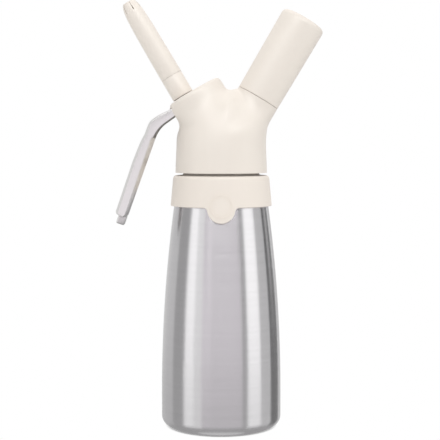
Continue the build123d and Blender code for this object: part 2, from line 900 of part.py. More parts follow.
with BuildPart() as lever:
    with BuildSketch(upright_side) as lever_outline:
        with BuildLine():
            Polyline(
                lever_at(pivot_u, fork_top),
                bend_out,
                end_out,
                end_in,
                bend_in,
                lever_at(fork_start_u, entry_under),
                lever_at(fork_start_u + lever_sheet, fork_under),
                lever_at(-nose_half - nose_slope, fork_under),
                lever_at(-nose_half, nose_w),
                lever_at(nose_half, nose_w),
                lever_at(nose_half + nose_slope, fork_under),
                lever_at(pivot_u, fork_under),
                close=True,
            )
        make_face()
        fillet(lever_outline.vertices().sort_by_distance(bend_out)[0], bend_out_round)
        fillet(lever_outline.vertices().sort_by_distance(bend_in)[0], bend_in_round)
        with Locations(lever_at(pivot_u, pivot_w)):
            Circle(fork_end_r)
    extrude(amount=lever_half, both=True)
    fillet(lever.edges().filter_by(is_outer_edge), lever_edge)
    with BuildSketch(upright_side):
        with BuildLine():
            Polyline(
                lever_at(pivot_u, fork_top - lever_sheet),
                channel_bend,
                channel_end,
                channel_end + handle_in * 2 * handle_depth,
                lever_at(pivot_u, 0),
                close=True,
            )
        make_face()
    extrude(amount=lever_half - lever_sheet, both=True, mode=Mode.SUBTRACT)
    with BuildSketch(valve_at(seat_w)):
        with Locations((fork_web_end + 2 * bottle_r, 0)):
            Rectangle(4 * bottle_r, 2 * (lever_half - lever_sheet))
    extrude(amount=2 * arm_reach, mode=Mode.SUBTRACT)
    bead_top = bend_in - handle_in * bead_r + handle_down * bend_in_round / 2
    bead_end = end_in - handle_in * bead_r - handle_down * bead_r
    bead_y = lever_half - bead_r + bead_proud
    for side in (-1, 1):
        start = Vector(bead_top.X, side * bead_y, bead_top.Y)
        finish = Vector(bead_end.X, side * bead_y, bead_end.Y)
        add(rod(Plane(origin=start, x_dir=front, z_dir=finish - start), bead_r, (finish - start).length))
        with Locations(start, finish):
            Sphere(bead_r)
    tongue_start = end_out + handle_in * tongue_inset - handle_down * lever_sheet
    tongue_end = end_out + handle_in * tongue_inset + handle_down * tongue_length
    with BuildSketch(upright_side) as tongue_outline:
        with BuildLine():
            Polyline(
                tongue_start,
                tongue_end,
                tongue_end + handle_in * tongue_width,
                tongue_start + handle_in * tongue_width,
                close=True,
            )
        make_face()
        fillet(tongue_outline.vertices().sort_by_distance(tongue_end)[0], tongue_round)
    extrude(amount=tongue_half, both=True)
    add(across(pivot_plane, hinge_r, bottle_r), mode=Mode.SUBTRACT)
save(lever.part, "lever")

pin_root_r = pin_r - pin_groove
groove_inner = ear_outer + gasket_gap
groove_outer = groove_inner + pin_clip_thick + 2 * gasket_gap
pivot_side = Plane(origin=pivot_plane.origin, x_dir=valve_u, z_dir=valve_n)
pivot_axis = Axis(pivot_plane.origin, pivot_side.y_dir)
pivot_pin = turned(
    pivot_side,
    pivot_axis,
    [
        (0, -pin_half),
        (pin_r, -pin_half),
        (pin_r, -groove_outer),
        (pin_root_r, -groove_outer),
        (pin_root_r, -groove_inner),
        (pin_r, -groove_inner),
        (pin_r, groove_inner),
        (pin_root_r, groove_inner),
        (pin_root_r, groove_outer),
        (pin_r, groove_outer),
        (pin_r, pin_half),
        (0, pin_half),
    ],
)
save(pivot_pin, "pivot_pin")


def pin_clip(low):
    with BuildPart() as piece:
        add(washer(pivot_side, pivot_axis, pin_root_r + running_gap, pin_clip_r, low, low + pin_clip_thick))
        with BuildSketch(pivot_plane.offset(-low)):
            with Locations((pin_clip_r, 0)):
                Rectangle(2 * pin_clip_r, 2 * (pin_root_r - clip_mouth_inset))
        extrude(amount=-pin_clip_thick, mode=Mode.SUBTRACT)
    return piece.part


clip_start = groove_inner + gasket_gap
save(pin_clip(-clip_start - pin_clip_thick), "pin_clip_front")
save(pin_clip(clip_start), "pin_clip_back")

# Gas side: a threaded cup on the right arm, with the pin that opens the charger
ring_half = nipple_ring_r + gasket_gap
ring_root_r = nipple_spigot_r - 2 * nipple_ring_r
spigot_low = spigot_bore_low + gasket_gap
holder_thread = (
    apex + gas_n * holder_thread_w,
    gas_n,
    nipple_cup_r,
    holder_thread_depth,
    holder_thread_pitch,
    holder_thread_turns,
)
nipple_body = turned(
    gas_side,
    gas_axis,
    [
        (gas_hole_r, spigot_low),
        (nipple_spigot_r, spigot_low),
        (nipple_spigot_r, nipple_ring_w - ring_half),
        (ring_root_r, nipple_ring_w - ring_half),
        (ring_root_r, nipple_ring_w + ring_half),
        (nipple_spigot_r, nipple_ring_w + ring_half),
        (nipple_spigot_r, core_arm_top),
        (nipple_flange_r, core_arm_top),
        (nipple_flange_r, nipple_floor),
        (nipple_cup_r, nipple_floor),
        (nipple_cup_r, nipple_top),
        (nipple_cup_in, nipple_top),
        (nipple_cup_in, nipple_floor),
        (nipple_neck_r, nipple_floor),
        (nipple_neck_r, nipple_seat),
        (gas_hole_r, nipple_seat),
    ],
)
with BuildPart() as charger_nipple:
    add(nipple_body)
    add(thread(*holder_thread, 0))
save(charger_nipple.part, "charger_nipple")

ring_middle_r = ring_root_r + nipple_ring_r + running_gap / 2
nipple_o_ring = ring(gas_side, gas_axis, ring_middle_r, nipple_ring_w, nipple_ring_r)
save(nipple_o_ring, "nipple_o_ring")

flange_r = nipple_neck_r - gasket_gap
flange_top = nipple_seat + piercer_flange
piercing_pin = turned(
    gas_side,
    gas_axis,
    [
        (piercer_bore_r, nipple_seat),
        (flange_r, nipple_seat),
        (flange_r, flange_top),
        (piercer_r, flange_top),
        (piercer_r, piercer_tip - piercer_r),
        (piercer_bore_r + piercer_edge, piercer_tip),
        (piercer_bore_r, piercer_tip),
    ],
)
save(piercing_pin, "piercing_pin")

charger_seal = washer(
    gas_side, gas_axis, piercer_r + gasket_gap, flange_r, flange_top, flange_top + seal_thick
)
save(charger_seal, "charger_seal")

ball_drop = sqrt(ball_r**2 - gas_hole_r**2) + gasket_gap
ball_w = ball_seat - ball_drop
with BuildPart() as check_ball:
    with Locations(apex + gas_n * ball_w):
        Sphere(ball_r)
save(check_ball.part, "check_ball")

retainer_top = retainer_low + retainer_thick
check_retainer = washer(gas_side, gas_axis, gas_hole_r, ball_way_r - gasket_gap, retainer_low, retainer_top)
save(check_retainer, "check_retainer")

check_low = retainer_top + check_wire_r + gasket_gap
check_high = ball_w - sqrt((ball_r + check_wire_r + gasket_gap) ** 2 - check_spring_r**2)
check_rise = check_high - check_low
check_foot = apex + gas_n * check_low
check_spring = coil(check_foot, gas_n, check_spring_r, check_wire_r, check_turns, check_rise)
save(check_spring, "check_spring")
print("check_spring gap between turns", round(check_rise / check_turns - 2 * check_wire_r, 2))


# The charger and, round it, the holder's liner and cover
def capsule(out, tip_w, hole_r):
    neck = charger_neck_r - out
    side_r = charger_r - out
    neck_w = charger_tip + charger_neck_length + out / 2
    full_w = neck_w + charger_shoulder
    round_w = charger_end - charger_r
    with BuildPart() as piece:
        with BuildSketch(gas_side):
            with BuildLine():
                Line((hole_r, tip_w), (neck, tip_w))
                Line((neck, tip_w), (neck, neck_w))
                Spline((neck, neck_w), (side_r, full_w), tangents=((0, 1), (0, 1)))
                Line((side_r, full_w), (side_r, round_w))
                RadiusArc((side_r, round_w), (0, round_w + side_r), -side_r)
                Line((0, round_w + side_r), (0, charger_tip - cut_past))
                Line((0, charger_tip - cut_past), (hole_r, charger_tip - cut_past))
                Line((hole_r, charger_tip - cut_past), (hole_r, tip_w))
            make_face()
        revolve(axis=gas_axis)
    return piece.part


with BuildPart() as gas_charger:
    add(capsule(0, charger_tip, gas_hole_r))
    add(capsule(charger_wall, charger_tip + charger_wall, gas_hole_r), mode=Mode.SUBTRACT)
save(gas_charger.part, "gas_charger")

liner_step = nipple_top + liner_step_gap
charger_round = charger_end - charger_r
liner_hole_r = liner_bore_r / 2
liner_hole_w = charger_round + sqrt(liner_bore_r**2 - liner_hole_r**2)
liner_crown_up = liner_bore_r * sin(radians(liner_crown_angle))
liner_crown = (liner_bore_r * cos(radians(liner_crown_angle)), charger_round + liner_crown_up)
with BuildPart() as holder_liner:
    with BuildSketch(gas_side):
        with BuildLine():
            Polyline(
                (liner_bore_r, charger_round),
                (liner_bore_r, liner_step),
                (liner_thread_r, liner_step),
                (liner_thread_r, holder_low),
                (liner_r, holder_low),
                (liner_r, liner_high),
                (liner_hole_r, liner_high),
                (liner_hole_r, liner_hole_w),
            )
            ThreePointArc((liner_hole_r, liner_hole_w), liner_crown, (liner_bore_r, charger_round))
        make_face()
    revolve(axis=gas_axis)
    add(groove_for(*holder_thread), mode=Mode.SUBTRACT)
save(holder_liner.part, "holder_liner")

with BuildPart() as holder_shell:
    with BuildSketch(gas_side) as holder_outline:
        with BuildLine():
            Polyline(
                (liner_r + liner_gap, holder_low),
                (holder_boss_r, holder_low),
                (holder_top_r, holder_high),
                (0, holder_high),
                (0, holder_high - holder_cap),
                (liner_r + liner_gap, holder_high - holder_cap),
                close=True,
            )
        make_face()
        fillet(holder_outline.vertices().sort_by_distance((holder_top_r, holder_high, 0))[0], holder_round)
        fillet(holder_outline.vertices().sort_by_distance((holder_boss_r, holder_low, 0))[0], holder_edge)
    revolve(axis=gas_axis)
save(holder_shell.part, "holder_shell")
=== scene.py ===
import json
from math import atan, cos, pi, radians, sin, sqrt, tan

import bmesh
import bpy
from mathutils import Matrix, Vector


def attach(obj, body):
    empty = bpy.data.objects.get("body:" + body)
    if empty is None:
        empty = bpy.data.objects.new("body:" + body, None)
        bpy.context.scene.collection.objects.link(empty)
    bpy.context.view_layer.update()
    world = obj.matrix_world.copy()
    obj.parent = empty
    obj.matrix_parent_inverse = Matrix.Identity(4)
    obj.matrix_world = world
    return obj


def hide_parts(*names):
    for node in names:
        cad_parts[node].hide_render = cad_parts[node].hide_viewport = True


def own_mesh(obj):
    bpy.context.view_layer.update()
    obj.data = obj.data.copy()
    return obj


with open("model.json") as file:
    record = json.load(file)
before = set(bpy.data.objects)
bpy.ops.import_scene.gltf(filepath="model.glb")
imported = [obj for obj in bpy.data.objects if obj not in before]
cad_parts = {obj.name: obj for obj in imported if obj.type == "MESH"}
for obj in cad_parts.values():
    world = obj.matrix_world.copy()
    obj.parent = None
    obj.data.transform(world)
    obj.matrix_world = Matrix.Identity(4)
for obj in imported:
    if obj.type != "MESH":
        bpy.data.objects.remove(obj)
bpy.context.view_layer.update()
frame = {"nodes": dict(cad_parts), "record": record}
nodes = frame["nodes"]

mm = 0.001

# New meshes: points closer than the merge gap, in mm, are one; a loop starts as a circle, in metres
merge_gap = 0.001
start_radius = 0.03
smooth_degrees = 35
edge_turn = radians(50)
edge_segments = 3

# Head cover, in mm: a skirt that parts into two leaning arms; w runs along an arm from the apex
arm_tilt = radians(30.5)
apex_z = 178.0
skirt_rings = ((170.0, 30.5), (170.6, 30.5), (173.0, 30.45), (181.0, 30.1), (188.5, 29.75))
dome_z = 193.0
dome_r = 29.9
dome_drop = 3.0
fork_side_z = 194.5
fork_front_z = 200.0
fork_front_x = 3.0
valley_x = 6.7
valley_z = 225.6
valve_face_w = 49.2
face_tuck = 0.6
face_tuck_left = 1.6
valley_sag = 1.7
valve_boss_r = 19.94
valve_boss_shift = 7.0
valve_root_w = 42.4
valve_root_pull = 4.0
valve_root_dip = 5.0
valve_root_shares = (0.32, 0.65)
holder_boss_r = 14.8
holder_root_w = 41.0
holder_root_pull = 1.3
holder_root_rise = 6.3
holder_root_shares = (0.5, 0.75)
face_hole_r = 7.85
face_hole_lip = 1.2
face_hole_depth = 0.9
face_round = 4.0
holder_seam_w = 48.45
holder_seam = 0.2
holder_seam_edge = 0.65
cover_wall = 1.0
cover_levels = 3
cover_edge = 0.25
cover_edge_turn = radians(60)
ring_points = 16
# Smoothing draws a ring in, so its points start further out
ring_swell = 3 / (2 + cos(2 * pi / ring_points))
slot_half = 7.8
slot_low = 30.0
slot_high = 46.8
slot_reach = 50.0
slot_steps = 16

# Lever, in mm
lever_top_w = 46.3
arm_back = ((-8.0, 46.3), (-11.0, 46.3), (-14.0, 46.4), (-17.5, 46.75))
bend_back = (
    (-41.8, 207.9), (-44.2, 206.3), (-45.8, 205.1), (-46.9, 204.1), (-47.75, 202.95),
    (-48.4, 201.6), (-49.0, 200.1), (-49.8, 198.0), (-50.65, 195.7),
)
handle_back = (
    (-51.1, 194.9), (-52.2, 193.0), (-53.7, 189.9), (-55.5, 185.6), (-58.7, 177.6), (-61.4, 169.6),
    (-64.2, 161.5), (-66.9, 153.5), (-68.7, 148.2), (-70.1, 144.1), (-70.55, 142.8),
)
arm_shares = (0.0, 0.3, 0.6, 0.85)
bend_steps = 8
handle_shares = (0.015, 0.06, 0.12, 0.2, 0.35, 0.5, 0.65, 0.8, 0.9, 0.975, 1.0)
lip_fold = ((0.0, 0.85), (0.25, 0.7), (0.9, 0.1))
corner_fold = ((1.0, 0.0), (0.66, 0.34), (0.33, 0.67), (0.0, 1.0))
lever_half = 7.3
lever_wall = 1.6
lever_edge = 0.35
lever_smooth_degrees = 20
lever_corner = 1.7
lever_corner_in = 3.2
lever_corner_start = 0.4
web_bulge = 0.25
web_bulge_halfway = 0.15
fork_cut_u = -8.0
arm_under_w = 40.9
bend_u = -31.2
handle_tilt = radians(18.8)
handle_length = 62.6
handle_depth = 9.1
handle_depth_end = 8.1
bend_in_round = 20.0
arm_lip_width = 0.45
bend_lip_width = 1.1
arm_lip_slope = 1.1
handle_lip_width = 2.6
handle_lip_in = 2.7
handle_lip_end = 1.4
lip_clear = 0.3
lip_open_sections = 2
handle_end_round = 1.0
tongue_length = 5.6
tongue_root = 1.5
tongue_edge = 0.9
tongue_edge_segments = 4
tongue_width = 5.6
tongue_inset = 2.4
tongue_half = 5.0
# How far the whole tongue is painted darker, as a share of the full darkening
tongue_darkening = 0.4

# Tip, in mm: radius at each height; six slots in its end, wide at the foot and narrow at the mouth
tip_profile = (
    (64.98, 7.28), (65.4, 7.36), (79.0, 7.25), (93.0, 7.08), (102.0, 6.93), (107.0, 6.7), (111.0, 6.5),
    (114.0, 6.2), (115.5, 6.0), (117.5, 5.6), (119.6, 5.0), (120.6, 4.55), (121.4, 3.9),
)
adapter_profile = (
    (49.9, 7.05), (50.2, 7.35), (64.65, 7.35), (64.85, 7.28), (64.9, 7.0), (64.9, 5.2), (65.0, 5.0),
    (71.8, 5.0), (72.0, 4.8), (72.0, 4.1), (49.9, 4.1), (49.9, 7.05),
)
tip_points = 48
tip_wall = 1.4
slots = 6
slot_foot_w = 115.0
slot_outline = ((0.0, 0.0), (0.25, 0.12), (0.4, 0.5), (0.4, 0.9), (0.25, 2.0), (0.16, 3.4), (0.14, 9.0))
slot_turn = radians(10)
slot_cut = 12.0
tip_edge = 0.25

# Charger cover, in mm: radius at each height, from the seam to the closed end
cover_hub_r = 4.0
cover_profile = (
    (48.45, 14.4), (48.6, 14.7), (48.9, 14.8), (50.0, 14.82), (59.0, 14.95), (68.0, 15.05), (79.0, 15.15),
    (90.0, 15.24), (100.0, 15.35), (105.20, 15.4), (106.40, 15.25), (107.50, 14.6), (108.20, 13.6),
    (108.52, 12.4), (108.60, 11.0), (108.60, cover_hub_r),
)
cover_bore_r = 12.4
cover_bore_end = 106.10
cover_points = 64

# Camera, as far off and as high as the photograph's
camera_distance = 0.80
camera_height = 0.190
camera_side = -0.0008
aim_height = 0.1383
lens = 97.99
sensor_width = 36

# Finishes: linear colours
steel_colour = (0.60, 0.59, 0.60, 1)
lever_colour = (0.82, 0.81, 0.795, 1)
cream_colour = (0.83, 0.772, 0.705, 1)
silicone_colour = (0.84, 0.775, 0.705, 1)
aluminium_colour = (0.70, 0.70, 0.71, 1)
brass_colour = (0.72, 0.56, 0.30, 1)
rubber_colour = (0.03, 0.03, 0.03, 1)
seal_colour = (0.78, 0.76, 0.72, 1)
spring_colour = (0.50, 0.50, 0.51, 1)
charger_colour = (0.60, 0.60, 0.60, 1)

# Brush lines and moulded grain: depth in metres, how the lines are mixed, and how clouds vary the finish
brush_depth = 0.00003
fine_line_share = 0.5
coarse_line_scale = 0.22
quarter_turn = 0.25
grain_bump = 0.15
cloud_size = 45.0
cloud_rough = 0.06

# Studio, in metres; the shadow on the floor fades out between two distances from the axis
floor_size = 8.0
floor_rough = 0.9
shadow_start = 0.034
shadow_end = 0.038
floor_colour = (0.93, 0.93, 0.93, 1)
fill_colour = (1, 0.99, 0.98, 1)
fill_level = 0.835
lamp_aim = (0, 0, 0.2)

# Name, place, size and watts of each lamp
lamps = (
    ("top_light", (0.32, -0.52, 1.18), (0.7, 0.5), 2.6),
    ("over_light", (-0.05, 0.02, 1.3), (0.7, 0.7), 2.0),
)

# Panels that show only in reflections: distance and edges in metres, step in degrees, share of green
panel_distance = 1.6
panel_step = 3
panel_foot = -1.4
panel_top = 1.9
low_foot = -0.33
low_top = -0.24
front_foot = -0.25
front_bend = 0.3
front_top = 0.93
flag_bend = 0.02
high_foot = 0.95
high_top = 1.7
no_tint = 1.0
low_tint = 0.98
front_tint = 0.955

# Name, first and last angle in degrees (0 is behind the camera), brightness, foot, top, green
panels = (
    ("wall_left", -165, -106, 0.78, low_top, panel_top, no_tint),
    ("wall_left_low", -165, -106, 0.64, panel_foot, low_top, no_tint),
    ("flag_left", -106, -77, 0.5, panel_foot, panel_top, no_tint),
    ("softbox_left", -73, -54, 1.55, low_top, panel_top, no_tint),
    ("softbox_left_low", -73, -54, 1.0, low_foot, low_top, no_tint),
    ("softbox_left_edge", -54, -38, 1.16, low_top, panel_top, no_tint),
    ("softbox_left_edge_low", -54, -38, 0.68, low_foot, low_top, no_tint),
    ("front_low", -38, 41, 0.61, panel_foot, front_foot, low_tint),
    ("front_mid_left", -38, -20, 1.08, front_foot, front_bend, front_tint),
    ("front_mid", -20, 41, 0.98, front_foot, front_bend, front_tint),
    ("front_high_left", -38, -20, 0.66, front_bend, front_top, front_tint),
    ("front_high", -20, 41, 0.46, front_bend, front_top, front_tint),
    ("flag_right_narrow", 41, 51, 0.5, panel_foot, panel_top, no_tint),
    ("softbox_right", 52, 81, 1.6, low_top, panel_top, no_tint),
    ("softbox_right_low", 52, 81, 1.15, low_foot, low_top, no_tint),
    ("wall_right", 81, 106, 0.76, panel_foot, panel_top, no_tint),
    ("flag_right", 109, 143, 0.25, panel_foot, flag_bend, no_tint),
    ("flag_right_first", 109, 119, 0.14, flag_bend, panel_top, no_tint),
    ("flag_right_top", 119, 129, 0.6, flag_bend, panel_top, no_tint),
    ("flag_right_last", 129, 139, 0.2, flag_bend, panel_top, no_tint),
    ("wall_right_back", 146, 170, 0.68, panel_foot, panel_top, no_tint),
    ("softbox_high", -35, 45, 6.3, high_foot, high_top, no_tint),
)

# Name, radius, height, brightness of the cards under the floor
cards = (
    ("ground_card", 0.65, -0.35, 0.5),
    ("ground_near", 0.15, -0.345, 0.85),
)
card_points = 48


def deselect():
    bpy.ops.object.select_all(action="DESELECT")


def take(obj):
    deselect()
    obj.select_set(True)
    bpy.context.view_layer.objects.active = obj


def edit(obj):
    take(obj)
    bpy.ops.object.mode_set(mode="EDIT")
    bpy.ops.mesh.select_all(action="DESELECT")
    return bmesh.from_edit_mesh(obj.data)


def leave():
    bpy.ops.object.mode_set(mode="OBJECT")


def apply_modifier(obj, kind, **values):
    take(obj)
    made = obj.modifiers.new(kind.lower(), kind)
    for name, value in values.items():
        setattr(made, name, value)
    bpy.ops.object.modifier_apply(modifier=made.name)


def round_edges(obj, width, **values):
    """Rounds the edges that turn more than a set angle."""
    settings = {"limit_method": "ANGLE", "angle_limit": edge_turn, "segments": edge_segments} | values
    apply_modifier(obj, "BEVEL", width=width * mm, **settings)


def close_normals(obj):
    edit(obj)
    bpy.ops.mesh.select_all(action="SELECT")
    bpy.ops.mesh.remove_doubles(threshold=merge_gap * mm)
    bpy.ops.mesh.normals_make_consistent(inside=False)
    leave()


def start_loop(name, places, closed=True):
    """A ring of edges, or an open strip, from a circle whose points are moved to their places."""
    deselect()
    spare = 0 if closed else 1
    bpy.ops.mesh.primitive_circle_add(vertices=len(places) + spare, radius=start_radius)
    obj = bpy.context.object
    obj.name = name
    obj.data.name = name
    mesh = edit(obj)
    mesh.verts.ensure_lookup_table()
    if spare:
        mesh.verts[len(places)].select = True
        bpy.ops.mesh.delete(type="VERT")
        mesh = bmesh.from_edit_mesh(obj.data)
        mesh.verts.ensure_lookup_table()
    for i, place in enumerate(places):
        mesh.verts[i].co = place * mm
    bmesh.update_edit_mesh(obj.data)
    leave()
    return obj, list(range(len(places)))


def extrude_loop(obj, loop, places, closed=True):
    """Extrudes the edges between the loop's points, and moves the new points to their places."""
    mesh = edit(obj)
    mesh.verts.ensure_lookup_table()
    ends = loop[1:] + loop[:1] if closed else loop[1:]
    for a, b in zip(loop, ends):
        edge = mesh.edges.get((mesh.verts[a], mesh.verts[b]))
        edge.select = True
    bpy.ops.mesh.extrude_region_move()
    mesh = bmesh.from_edit_mesh(obj.data)
    mesh.verts.ensure_lookup_table()
    fresh = []
    for i, place in zip(loop, places):
        old = mesh.verts[i]
        new = next(e.other_vert(old) for e in old.link_edges if e.other_vert(old).select)
        new.co = place * mm
        fresh.append(new)
    mesh.verts.index_update()
    made = [v.index for v in fresh]
    bmesh.update_edit_mesh(obj.data)
    leave()
    return made


def fill_loop(obj, loop):
    """Closes a loop with one face."""
    mesh = edit(obj)
    mesh.verts.ensure_lookup_table()
    for i in loop:
        mesh.verts[i].select = True
    bpy.ops.mesh.edge_face_add()
    leave()


def valve_place(u, w, y=0.0):
    """A point beside the valve's arm: u across it, w along it from the apex."""
    x = u * cos(arm_tilt) - w * sin(arm_tilt)
    return Vector((x, y, apex_z + u * sin(arm_tilt) + w * cos(arm_tilt)))


def holder_place(u, w, y=0.0):
    """The same beside the holder's arm."""
    x = u * cos(arm_tilt) + w * sin(arm_tilt)
    return Vector((x, y, apex_z - u * sin(arm_tilt) + w * cos(arm_tilt)))


def socket(group, name, way, kind):
    group.interface.new_socket(name=name, in_out=way, socket_type=kind)


def brush_lines_group():
    """Fine scratches that run across one axis of the coordinates and vary along it."""
    group = bpy.data.node_groups.new("brush_lines", "ShaderNodeTree")
    socket(group, "Vector", "INPUT", "NodeSocketVector")
    socket(group, "Lines", "OUTPUT", "NodeSocketFloat")
    put, link = group.nodes.new, group.links.new
    given = put("NodeGroupInput")
    result = put("NodeGroupOutput")
    fine = put("ShaderNodeTexNoise")
    fine.inputs["Scale"].default_value = 1.0
    fine.inputs["Detail"].default_value = 3.0
    coarse = put("ShaderNodeTexNoise")
    coarse.inputs["Scale"].default_value = coarse_line_scale
    coarse.inputs["Detail"].default_value = 2.0
    link(given.outputs["Vector"], fine.inputs["Vector"])
    link(given.outputs["Vector"], coarse.inputs["Vector"])
    mixed = put("ShaderNodeMath")
    mixed.operation = "MULTIPLY_ADD"
    mixed.inputs[1].default_value = fine_line_share
    link(fine.outputs["Fac"], mixed.inputs[0])
    part = put("ShaderNodeMath")
    part.operation = "MULTIPLY"
    part.inputs[1].default_value = 1 - fine_line_share
    link(coarse.outputs["Fac"], part.inputs[0])
    link(part.outputs[0], mixed.inputs[2])
    link(mixed.outputs[0], result.inputs["Lines"])
    return group


def fine_grain_group():
    """Moulded grain with slow clouding over it."""
    group = bpy.data.node_groups.new("fine_grain", "ShaderNodeTree")
    socket(group, "Vector", "INPUT", "NodeSocketVector")
    socket(group, "Grain Size", "INPUT", "NodeSocketFloat")
    socket(group, "Cloud Size", "INPUT", "NodeSocketFloat")
    socket(group, "Cloud", "OUTPUT", "NodeSocketFloat")
    socket(group, "Height", "OUTPUT", "NodeSocketFloat")
    put, link = group.nodes.new, group.links.new
    given = put("NodeGroupInput")
    result = put("NodeGroupOutput")
    grain = put("ShaderNodeTexNoise")
    grain.inputs["Detail"].default_value = 2.0
    link(given.outputs["Vector"], grain.inputs["Vector"])
    link(given.outputs["Grain Size"], grain.inputs["Scale"])
    cloud = put("ShaderNodeTexNoise")
    cloud.inputs["Detail"].default_value = 4.0
    link(given.outputs["Vector"], cloud.inputs["Vector"])
    link(given.outputs["Cloud Size"], cloud.inputs["Scale"])
    link(grain.outputs["Fac"], result.inputs["Height"])
    link(cloud.outputs["Fac"], result.inputs["Cloud"])
    return group


brush_lines = brush_lines_group()
fine_grain = fine_grain_group()


class Finish:
    """A material with one shader, and short ways to wire its nodes."""

    def __init__(self, name, colour, metallic, roughness):
        self.material = bpy.data.materials.new(name)
        self.material.use_nodes = True
        self.tree = self.material.node_tree
        self.shader = self.tree.nodes["Principled BSDF"]
        self.colour = colour
        self.set("Base Color", colour)
        self.set("Metallic", metallic)
        self.set("Roughness", roughness)
        self.place = self.node("ShaderNodeTexCoord").outputs["Object"]

    def node(self, kind):
        return self.tree.nodes.new(kind)

    def link(self, start, end):
        self.tree.links.new(start, end)

    def set(self, name, value):
        self.shader.inputs[name].default_value = value

    def group(self, group, **values):
        made = self.node("ShaderNodeGroup")
        made.node_tree = group
        for name, value in values.items():
            made.inputs[name.replace("_", " ")].default_value = value
        return made

    def stretched(self, size, turn):
        mapping = self.node("ShaderNodeMapping")
        mapping.vector_type = "TEXTURE"
        mapping.inputs["Scale"].default_value = size
        mapping.inputs["Rotation"].default_value = turn
        self.link(self.place, mapping.inputs["Vector"])
        return mapping.outputs["Vector"]

    def ramp(self, value, low, high):
        made = self.node("ShaderNodeMapRange")
        made.inputs["To Min"].default_value = low
        made.inputs["To Max"].default_value = high
        self.link(value, made.inputs["Value"])
        return made.outputs["Result"]

    def shade_colour(self, value, low, high, painted_shade_and_darkening=None):
        scale = self.node("ShaderNodeVectorMath")
        scale.operation = "SCALE"
        scale.inputs[0].default_value = self.colour[:3]
        tone = self.ramp(value, low, high)
        # Painted shade: the colour is darkened by the mesh's attribute, down to the given tone where the
        # attribute is full
        if painted_shade_and_darkening is not None:
            inside = self.node("ShaderNodeAttribute")
            inside.attribute_name = "painted_shade_and_darkening"
            darker = self.node("ShaderNodeMath")
            darker.operation = "MULTIPLY"
            self.link(tone, darker.inputs[0])
            self.link(self.ramp(inside.outputs["Fac"], 1.0, painted_shade_and_darkening), darker.inputs[1])
            tone = darker.outputs[0]
        self.link(tone, scale.inputs["Scale"])
        self.link(scale.outputs["Vector"], self.shader.inputs["Base Color"])

    def shade_roughness(self, value, low, high):
        self.link(self.ramp(value, low, high), self.shader.inputs["Roughness"])

    def bump(self, height, strength, distance):
        made = self.node("ShaderNodeBump")
        made.inputs["Strength"].default_value = strength
        made.inputs["Distance"].default_value = distance
        self.link(height, made.inputs["Height"])
        self.link(made.outputs["Normal"], self.shader.inputs["Normal"])


def brushed_metal(
    name, colour, line, rough, turn=(0, 0, 0), shade=0.06, bump=0.1, around=False, stretch=0.0, painted_shade_and_darkening=None
):
    """Metal with brush lines; line is how far one reaches along each axis, in metres. Where the mesh's
    painted_shade_and_darkening attribute is full, the colour is darkened down to the given tone: painted
    shade along the lever's lips, and a darker tongue.
    """
    finish = Finish(name, colour, 1.0, sum(rough) / 2)
    brushed = finish.group(brush_lines)
    finish.link(finish.stretched(line, turn), brushed.inputs["Vector"])
    lines = brushed.outputs["Lines"]
    finish.shade_colour(lines, 1 - shade, 1 + shade, painted_shade_and_darkening)
    finish.shade_roughness(lines, *rough)
    finish.bump(lines, bump, brush_depth)
    if around:
        tangent = finish.node("ShaderNodeTangent")
        tangent.direction_type = "RADIAL"
        tangent.axis = "Z"
        finish.link(tangent.outputs["Tangent"], finish.shader.inputs["Tangent"])
        finish.set("Anisotropic", stretch)
        finish.set("Anisotropic Rotation", quarter_turn)
    return finish.material


def moulded(name, colour, rough, grain, depth, cloud=0.02):
    finish = Finish(name, colour, 0.0, rough)
    grains = finish.group(fine_grain, Grain_Size=grain, Cloud_Size=cloud_size)
    finish.link(finish.place, grains.inputs["Vector"])
    finish.shade_colour(grains.outputs["Cloud"], 1 - cloud, 1 + cloud)
    finish.shade_roughness(grains.outputs["Cloud"], rough - cloud_rough, rough + cloud_rough)
    finish.bump(grains.outputs["Height"], grain_bump, depth)
    return finish.material


materials = {
    "bottle_steel": brushed_metal(
        "bottle_steel", steel_colour, (0.05, 0.05, 0.0004), (0.22, 0.28), shade=0.09, around=True, stretch=0.8
    ),
    # The lever's lips along the arm and bend get painted shade, down to this tone
    "lever_steel": brushed_metal(
        "lever_steel", lever_colour, (0.0003, 0.0003, 0.04), (0.26, 0.30), turn=(0, handle_tilt, 0),
        shade=0.03, bump=0.002, painted_shade_and_darkening=0.35,
    ),
    "cream_plastic": moulded("cream_plastic", cream_colour, 0.42, 2600.0, 0.00002),
    "cream_silicone": moulded("cream_silicone", silicone_colour, 0.55, 3400.0, 0.00003),
    "core_aluminium": brushed_metal("core_aluminium", aluminium_colour, (0.017, 0.017, 0.0004), (0.28, 0.40)),
    "seal_silicone": moulded("seal_silicone", seal_colour, 0.55, 3000.0, 0.00003),
    "seal_rubber": moulded("seal_rubber", rubber_colour, 0.6, 3000.0, 0.00003, cloud=0.2),
    "spring_steel": brushed_metal("spring_steel", spring_colour, (0.0007, 0.0007, 0.0007), (0.25, 0.35)),
    "nipple_brass": brushed_metal("nipple_brass", brass_colour, (0.017, 0.017, 0.0004), (0.20, 0.32)),
    "charger_steel": brushed_metal("charger_steel", charger_colour, (0.017, 0.017, 0.0006), (0.18, 0.28)),
}


def paint(obj, material):
    obj.data.materials.clear()
    obj.data.materials.append(material)


for row in frame["record"]["subparts"]:
    paint(nodes[row["node"]], materials[row["material_slot"]])


def finish_piece(obj, body, node, slot, smooth=smooth_degrees):
    """Completes a new piece: smooth shading, its finish, its body, and the CAD node that it stands for."""
    take(obj)
    bpy.ops.object.shade_smooth_by_angle(angle=radians(smooth))
    paint(obj, materials[slot])
    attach(obj, body)
    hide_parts(node)


